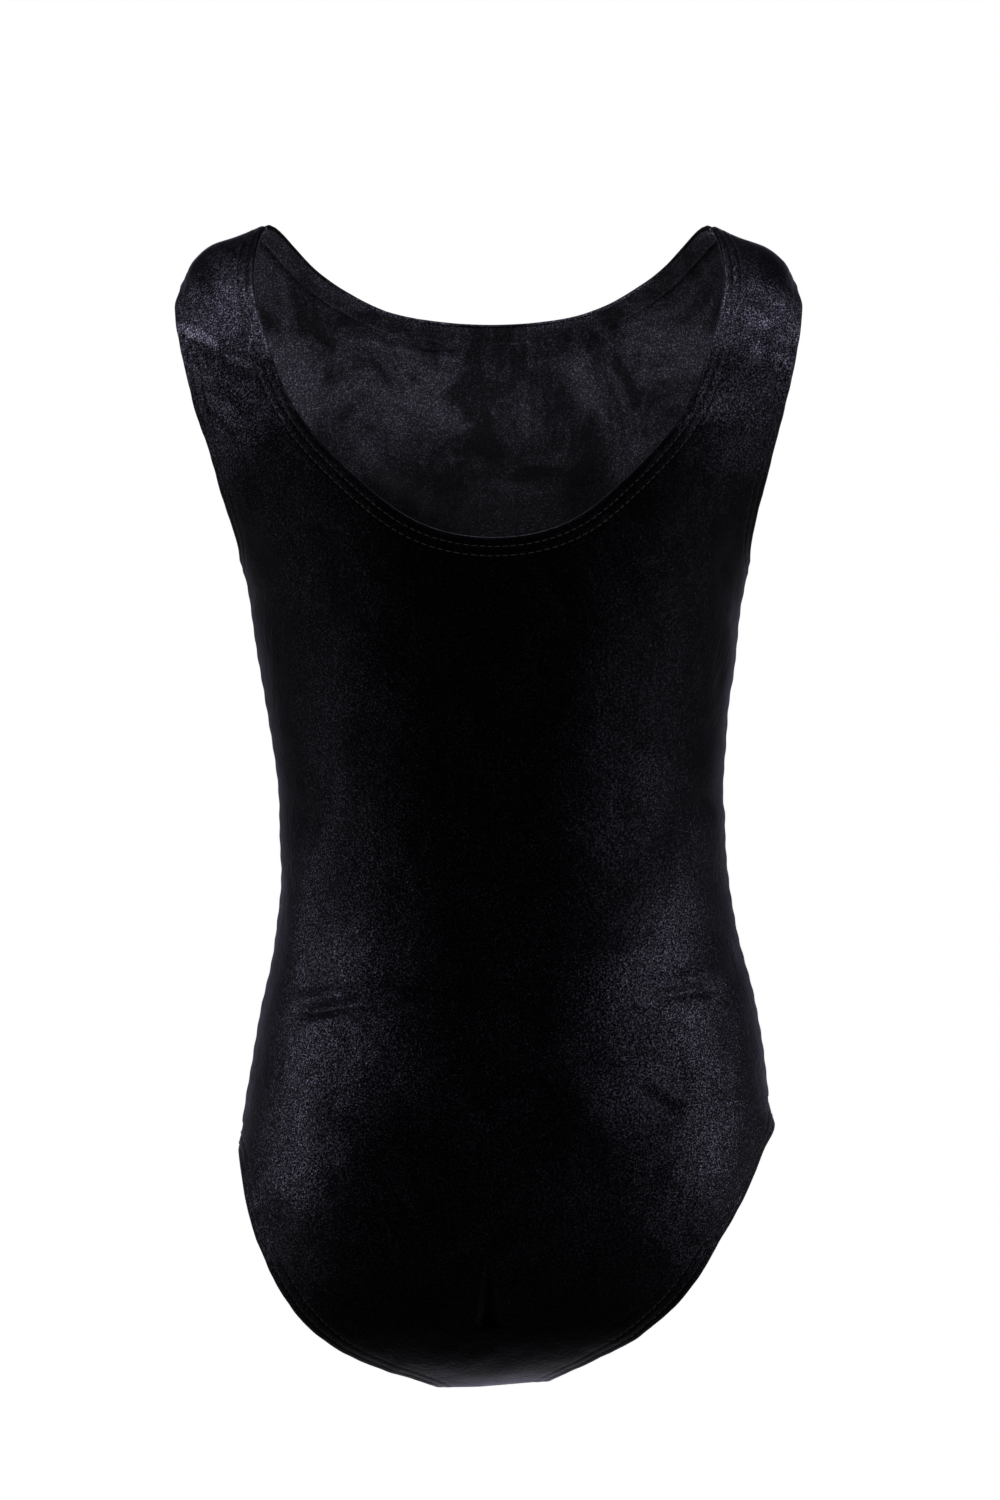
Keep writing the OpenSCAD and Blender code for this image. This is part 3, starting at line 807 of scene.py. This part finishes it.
def lining_piece():
    """The lining of the crotch, caught in the leg hems, with a curved top edge."""
    rows, columns = 60, 81
    rise = np.linspace(0.03, 1, rows)
    ends = along_edge(FRONT, "leg", 1 - rise * (1 - LINING_TOP), INSIDE_HEM)
    across = np.linspace(-1, 1, columns)
    h = ends[:, :1] - LINING_DIP * (1 - across**2) * rise[:, None] ** 4
    q = np.stack([h, ends[:, 1:] * across], axis=-1).reshape(-1, 2)
    verts = cloth(FRONT, q, LINING_LIFT, lining=True)
    faces = grid_faces(rows, columns, False)
    piece = make_piece("crotch_lining_cloth", verts, faces, [LINING])
    thicken(piece, LINING_T)
    return piece


# ---- materials ----


class Nodes:
    """A short way to write a material's nodes."""

    def __init__(self, name):
        self.material = bpy.data.materials.new(name)
        self.material.use_nodes = True
        self.tree = self.material.node_tree
        self.shader = self.tree.nodes["Principled BSDF"]
        self.place = self.add("ShaderNodeTexCoord").outputs["Object"]

    def add(self, kind, **values):
        node = self.tree.nodes.new(kind)
        for key, value in values.items():
            if hasattr(node, key):
                setattr(node, key, value)
            else:
                node.inputs[key.replace("_", " ")].default_value = value
        return node

    def link(self, output, node, socket):
        self.tree.links.new(output, node.inputs[socket])
        return node

    def noise(self, scale, detail=2.0, roughness=0.5, distortion=0.0, stretch=(1, 1, 1)):
        mapping = self.add("ShaderNodeMapping")
        mapping.inputs["Scale"].default_value = stretch
        self.link(self.place, mapping, "Vector")
        node = self.add("ShaderNodeTexNoise", Scale=scale, Detail=detail)
        node.inputs["Roughness"].default_value = roughness
        node.inputs["Distortion"].default_value = distortion
        return self.link(mapping.outputs["Vector"], node, "Vector").outputs["Fac"]

    def ramp(self, value, stops):
        """A colour ramp: stops are (position, colour)."""
        node = self.add("ShaderNodeValToRGB")
        line = node.color_ramp
        while len(line.elements) < len(stops):
            line.elements.new(0.5)
        for element, (position, colour) in zip(line.elements, stops):
            element.position = position
            element.color = (*colour, 1)
        return self.link(value, node, "Fac").outputs["Color"]

    def xyz(self):
        """The place's three coordinates, in metres."""
        node = self.add("ShaderNodeSeparateXYZ")
        return self.link(self.place, node, "Vector").outputs

    def math(self, operation, a, b):
        node = self.add("ShaderNodeMath", operation=operation)
        for k, value in enumerate((a, b)):
            if isinstance(value, (int, float)):
                node.inputs[k].default_value = value
            else:
                self.tree.links.new(value, node.inputs[k])
        return node.outputs[0]

    def mix(self, factor, a, b, blend="MIX"):
        node = self.add("ShaderNodeMix", data_type="RGBA", blend_type=blend)
        for socket, value in ((node.inputs[0], factor), (node.inputs[6], a), (node.inputs[7], b)):
            if isinstance(value, (int, float)):
                socket.default_value = value
            elif isinstance(value, tuple):
                socket.default_value = (*value, 1)
            else:
                self.tree.links.new(value, socket)
        return node.outputs[2]

    def bump(self, height, strength, distance, normal=None):
        node = self.add("ShaderNodeBump", Strength=strength, Distance=distance)
        self.link(height, node, "Height")
        if normal is not None:
            self.link(normal, node, "Normal")
        return node.outputs["Normal"]

    def set(self, **values):
        for key, value in values.items():
            self.shader.inputs[key.replace("_", " ")].default_value = value


def grey(v):
    return (v, v, v)


PILE = 0.28                        # sheen roughness
GRAIN, GLINTS = 0.22, 0.2          # how deep the pile's grain is pressed in

TALL = 560.0                       # height and half width that shades are spread over
WIDE = 150.0

# Painted highlight and shade: how bright the pile's colour is made at heights
# above the crotch, in millimetres, dark over the chest, bright on the hips and straps.
PAINTED_SHINE = [(0, 0.15), (45, 0.3), (90, 0.85), (180, 1.05), (250, 0.85), (310, 0.6), (410, 0.4)]
PAINTED_SHINE += [(440, 0.7), (457, 1.1), (473, 4.6), (486, 5.2), (498, 1.5), (515, 0.4)]
# Painted highlight and shade on the inside, by height: brightest just below the back neck, darker
# lower down.
PAINTED_SHINE_INSIDE = [(0, 0.35), (380, 0.3), (410, 0.42), (435, 2.0), (460, 3.0), (490, 1.6)]
PAINTED_SHINE_INSIDE += [(530, 0.9)]

# How far from the middle the painted shine begins at those heights; nearer the
# middle the colour is painted darker, to a third.
PAINTED_SHINE_EDGE = [(0, 70), (55, 66), (85, 60), (125, 44), (150, 18), (185, 18), (218, 50), (262, 80)]
PAINTED_SHINE_EDGE += [(330, 102), (400, 106), (430, 80), (460, 0), (540, 0)]


def smooth_step(n, value, start, end):
    """From 0 where value is at start to 1 where it is at end."""
    node = n.add("ShaderNodeMapRange", interpolation_type="SMOOTHSTEP")
    n.link(value, node, "Value")
    for socket, level in (("From Min", start), ("From Max", end)):
        if isinstance(level, (int, float)):
            node.inputs[socket].default_value = level
        else:
            n.tree.links.new(level, node.inputs[socket])
    return node.outputs["Result"]


def height_and_side(n):
    """Height above the crotch and distance from the middle, each from 0 to 1,
    roughened a little so that no shade has a ruled edge."""
    xyz = n.xyz()
    z = n.math("MULTIPLY", n.math("SUBTRACT", xyz["Z"], LOW_Z * MM), 1 / (TALL * MM))
    x = n.math("MULTIPLY", n.math("ABSOLUTE", xyz["X"], 0.0), 1 / (WIDE * MM))
    rough = n.math("SUBTRACT", n.noise(22, 5, 0.65, 0.5), 0.5)
    z = n.math("ADD", z, n.math("MULTIPLY", rough, 0.1))
    return z, n.math("ADD", x, n.math("MULTIPLY", rough, 0.45))


def painted_shine_by_place(n, stops, edge=None):
    """Painted highlight and shade: how bright the pile's colour is made, by height
    and, past an edge, to the sides; nearer the middle it is painted darker.
    """
    z, x = height_and_side(n)
    top = max(v for _, v in stops)
    shade = n.ramp(z, [(h / TALL, grey(v / top)) for h, v in stops])
    shade = n.mix(1.0, shade, grey(top), "MULTIPLY")
    if edge is None:
        return shade
    inner = n.ramp(z, [(h / TALL, grey(v / WIDE)) for h, v in edge])
    reach = smooth_step(n, x, inner, n.math("ADD", inner, 0.3))
    return n.mix(1.0, shade, n.ramp(reach, [(0, grey(0.3)), (1, grey(1))]), "MULTIPLY")


def pile(n, dark, light, crush, size, span):
    """Short dense pile: gives its colour and clouds, and sets the normal. Light
    specks stand on a dark ground, and crush is how dark the clouds press it."""
    grain = n.noise(1400, 3, 0.8)
    glints = n.noise(620, 2, 0.6)
    clouds = n.noise(size, 6, 0.65, 0.6, (1, 1, 0.8))
    broad = n.noise(8, 3, 0.5, 0.3)
    speck = n.ramp(grain, [(0.46, grey(0)), (0.55, grey(0.11)), (0.65, grey(1))])
    colour = n.mix(speck, dark, light)
    shade = n.ramp(clouds, [(span[0], grey(1 - crush)), (span[1], grey(1))])
    colour = n.mix(1.0, colour, shade, "MULTIPLY")
    normal = n.bump(broad, 0.2, 0.03)
    normal = n.bump(clouds, 0.3, 0.004, normal)
    normal = n.bump(glints, GLINTS, 0.0012, normal)
    normal = n.bump(grain, GRAIN, 0.0009, normal)
    n.link(normal, n.shader, "Normal")
    return colour, clouds


def pleat_shade(n):
    """No light comes back out of the pinched pleat above the crotch."""
    xyz = n.xyz()
    foot = LOW_Z + PLEAT["bottom"]
    up = n.math("SUBTRACT", n.math("MULTIPLY", xyz["Z"], 1 / MM), foot)
    tall = PLEAT["top"] - PLEAT["bottom"] - 4
    size = n.math("SUBTRACT", 1.0, n.math("MULTIPLY", up, 1 / tall))
    half = n.math("ADD", n.math("MULTIPLY", size, PLEAT["width"] * 0.55), 0.3)
    x = n.math("SUBTRACT", n.math("MULTIPLY", xyz["X"], 1 / MM), PLEAT["x"])
    x = n.math("ABSOLUTE", n.math("SUBTRACT", x, n.math("MULTIPLY", half, 0.8)), 0.0)
    beside = smooth_step(n, n.math("SUBTRACT", x, half), -0.6, 0.5)
    above = smooth_step(n, up, tall - 4.0, tall + 2.0)
    below = smooth_step(n, up, 0.0, -1.6)
    behind = smooth_step(n, xyz["Y"], -0.02, -0.01)
    open_cloth = n.math("MAXIMUM", beside, above)
    open_cloth = n.math("MAXIMUM", open_cloth, n.math("MAXIMUM", below, behind))
    return n.ramp(open_cloth, [(0, grey(0)), (1, grey(1))])


def velvet_material():
    """The face: nearly black face on, shining blue-grey at a slant."""
    n = Nodes("velvet")
    colour, clouds = pile(n, (0.002, 0.0019, 0.0027), (0.095, 0.089, 0.128), 0.6, 30, (0.34, 0.64))
    # Painted highlight and shade: the face's colour is made bright on the hips, straps and sides
    # and dark over the chest and the middle.
    place = painted_shine_by_place(n, PAINTED_SHINE, PAINTED_SHINE_EDGE)
    colour = n.mix(1.0, colour, place, "MULTIPLY")
    n.link(n.mix(1.0, colour, pleat_shade(n), "MULTIPLY"), n.shader, "Base Color")
    n.link(n.ramp(clouds, [(0.3, grey(0.48)), (0.7, grey(0.4))]), n.shader, "Roughness")
    n.set(Metallic=1.0, Sheen_Weight=1.0, Sheen_Roughness=PILE, Sheen_Tint=(0.3, 0.28, 0.4, 1))
    return n.material


def backing_material():
    """The inside: brushed and blotchy, and paler than the face."""
    n = Nodes("velvet_back")
    colour, clouds = pile(n, (0.012, 0.0115, 0.015), (0.15, 0.142, 0.205), 0.84, 24, (0.42, 0.58))
    # Painted highlight and shade: the inside's colour is made brightest just below the back neck
    # and darker lower down.
    n.link(n.mix(1.0, colour, painted_shine_by_place(n, PAINTED_SHINE_INSIDE), "MULTIPLY"), n.shader, "Base Color")
    n.link(n.ramp(clouds, [(0.3, grey(0.75)), (0.7, grey(0.6))]), n.shader, "Roughness")
    n.set(Sheen_Weight=0.5, Sheen_Roughness=0.4, Sheen_Tint=(0.4, 0.38, 0.5, 1))
    n.set(Specular_IOR_Level=0.1)
    return n.material


def knit_material(name, dark, light, scale, rough):
    """Plain fine knit: lining, elastic."""
    n = Nodes(name)
    wales = n.noise(scale, 2, 0.6, 0.0, (1, 1, 0.45))
    blur = n.noise(60, 3, 0.5)
    colour = n.mix(n.ramp(wales, [(0.35, grey(0)), (0.7, grey(1))]), dark, light)
    n.link(n.mix(0.3, colour, n.ramp(blur, [(0.3, dark), (0.7, light)])), n.shader, "Base Color")
    n.link(n.ramp(blur, [(0.2, grey(rough)), (0.8, grey(rough + 0.12))]), n.shader, "Roughness")
    n.link(n.bump(wales, 0.6, 0.0004), n.shader, "Normal")
    n.set(Sheen_Weight=0.2, Specular_IOR_Level=0.3)
    return n.material


def thread_material():
    """Twisted polyester thread."""
    n = Nodes("thread")
    twist = n.noise(2600, 1, 0.5, 0.0, (1, 1, 0.6))
    colour = n.mix(twist, (0.003, 0.003, 0.004), (0.016, 0.016, 0.02))
    n.link(colour, n.shader, "Base Color")
    n.link(n.ramp(twist, [(0.3, grey(0.35)), (0.7, grey(0.5))]), n.shader, "Roughness")
    n.link(n.bump(twist, 0.5, 0.0001), n.shader, "Normal")
    n.set(Sheen_Weight=0.1, Specular_IOR_Level=0.12)
    return n.material


VELVET = velvet_material()
BACKING = backing_material()
LINING = knit_material("lining", (0.02, 0.018, 0.02), (0.06, 0.055, 0.06), 1500, 0.75)
ELASTIC = knit_material("elastic", (0.012, 0.012, 0.013), (0.05, 0.05, 0.055), 1300, 0.6)
THREAD = thread_material()


# ---- making the garment ----

# Openings: name, half and kind.
OPENINGS = [("neck", RIGHT, "neck"), ("left_arm", LEFT, "arm"), ("right_arm", RIGHT, "arm")]
OPENINGS += [("left_leg", LEFT, "leg"), ("right_leg", RIGHT, "leg")]

# Seams: CAD node, kind, half and length.
SEAMS = [("left_side_seam", "side", LEFT, 235), ("right_side_seam", "side", RIGHT, 235)]
SEAMS += [("left_shoulder_seam", "shoulder", LEFT, 28)]
SEAMS += [("right_shoulder_seam", "shoulder", RIGHT, 28)]
SEAMS += [("crotch_seam", "crotch", RIGHT, 40)]


def finished(piece, slot, *nodes):
    """Hides the CAD nodes that a piece stands for, and gives the piece back.
    slot is not used.
    """
    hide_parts(*nodes)
    return piece


def make_panel(side, name):
    """One panel. The front one also stands for the five hem nodes."""
    verts, faces, kinds = panel_mesh(side)
    piece = make_piece(name + "_cloth", verts, faces, [VELVET, BACKING])
    piece.data.polygons.foreach_set("material_index", kinds.astype(np.int32))
    thicken(piece, CLOTH, inner_material=1)
    hems = [f"{opening}_hem" for opening, _, _ in OPENINGS] if side == FRONT else []
    return finished(piece, "velvet", name, *hems)


def make_garment():
    front, back = make_panel(FRONT, "front_panel"), make_panel(BACK, "back_panel")
    trims = []
    for name, half, kind in OPENINGS:
        elastic = elastic_ring(name + "_elastic_band", kind, half)
        trims.append(finished(elastic, "elastic", name + "_elastic"))
        sewing = topstitching(name + "_topstitching", kind, half)
        trims.append(finished(sewing, "thread", name + "_stitching"))
    for node, kind, half, length in SEAMS:
        body, sewing = seam_piece(node + "_allowances", kind, half, length)
        trims += [finished(body, "seam", node), finished(sewing, "thread", node)]
    lining = finished(lining_piece(), "lining", "crotch_lining")


make_garment()

# ---- studio ----

# Metres and watts.
WEAR_HEIGHT = 0.55                 # crotch above the floor when a child wears it
FLOOR_HALF = 200.0                 # half width of the floor
SIDE_POWER = 22
TOP_POWER = 14


def add_floor():
    """A pale floor that glows to the camera, so that it is as white as the backdrop."""
    z = LOW_Z * MM - WEAR_HEIGHT
    n = Nodes("studio_floor")
    tone = n.noise(3, 2, 0.5)
    n.link(n.ramp(tone, [(0.2, grey(0.6)), (0.8, grey(0.64))]), n.shader, "Base Color")
    n.set(Roughness=0.9, Emission_Color=(1, 1, 1, 1))
    path = n.add("ShaderNodeLightPath").outputs["Is Camera Ray"]
    n.link(n.math("ADD", n.math("MULTIPLY", path, 0.93), 0.05), n.shader, "Emission Strength")
    corners = [(-1, -1), (1, -1), (1, 1), (-1, 1)]
    verts = [(x * FLOOR_HALF, y * FLOOR_HALF, z) for x, y in corners]
    mesh = bpy.data.meshes.new("studio_floor")
    mesh.from_pydata(verts, [], [[0, 1, 2, 3]])
    mesh.materials.append(n.material)
    floor = bpy.data.objects.new("studio_floor", mesh)
    bpy.context.scene.collection.objects.link(floor)


def add_world():
    """White to the camera, dimmer as a light, as in a studio with a lit backdrop."""
    world = bpy.data.worlds.new("studio")
    bpy.context.scene.world = world
    world.use_nodes = True
    tree = world.node_tree
    shader = tree.nodes["Background"]
    shader.inputs["Color"].default_value = (1, 1, 1, 1)
    path = tree.nodes.new("ShaderNodeLightPath")
    level = tree.nodes.new("ShaderNodeMapRange")
    level.inputs["To Min"].default_value = 0.03
    level.inputs["To Max"].default_value = 1.0
    tree.links.new(path.outputs["Is Camera Ray"], level.inputs["Value"])
    tree.links.new(level.outputs["Result"], shader.inputs["Strength"])


def add_light(name, place, target, size, power):
    data = bpy.data.lights.new(name, "AREA")
    data.shape = "RECTANGLE"
    data.size, data.size_y = size
    data.energy = power
    light = bpy.data.objects.new(name, data)
    bpy.context.scene.collection.objects.link(light)
    light.location = place
    aim(light, target)


def aim(thing, target):
    """Points a light or camera at a place."""
    way = Vector(target) - Vector(thing.location)
    thing.rotation_euler = way.to_track_quat("-Z", "Y").to_euler()


EYE_X = 2.7 * MM                   # the camera stands a little to the right
EYE_Z = 286 * MM                   # camera height above the crotch seam
DISTANCE = 2.6
FRAME_H = 0.675                    # height that the picture takes in at the garment


def add_camera():
    data = bpy.data.cameras.new("camera")
    data.sensor_fit = "VERTICAL"
    data.sensor_height = 36
    data.lens = data.sensor_height * DISTANCE / FRAME_H
    camera = bpy.data.objects.new("camera", data)
    bpy.context.scene.collection.objects.link(camera)
    z = LOW_Z * MM + EYE_Z
    camera.location = (EYE_X, -DISTANCE, z)
    aim(camera, (EYE_X, 0, z))
    bpy.context.scene.camera = camera


bpy.context.scene.view_settings.view_transform = "Standard"
add_floor()
add_world()
add_camera()
MIDDLE = (0, 0, LOW_Z * MM + 0.26)
for name, x in (("left_softbox", -1.7), ("right_softbox", 1.7)):
    add_light(name, (x, -0.55, -0.25), MIDDLE, (0.9, 1.6), SIDE_POWER)
add_light("top_softbox", (0, -0.5, 1.4), MIDDLE, (1.4, 0.8), TOP_POWER)

bpy.context.view_layer.update()
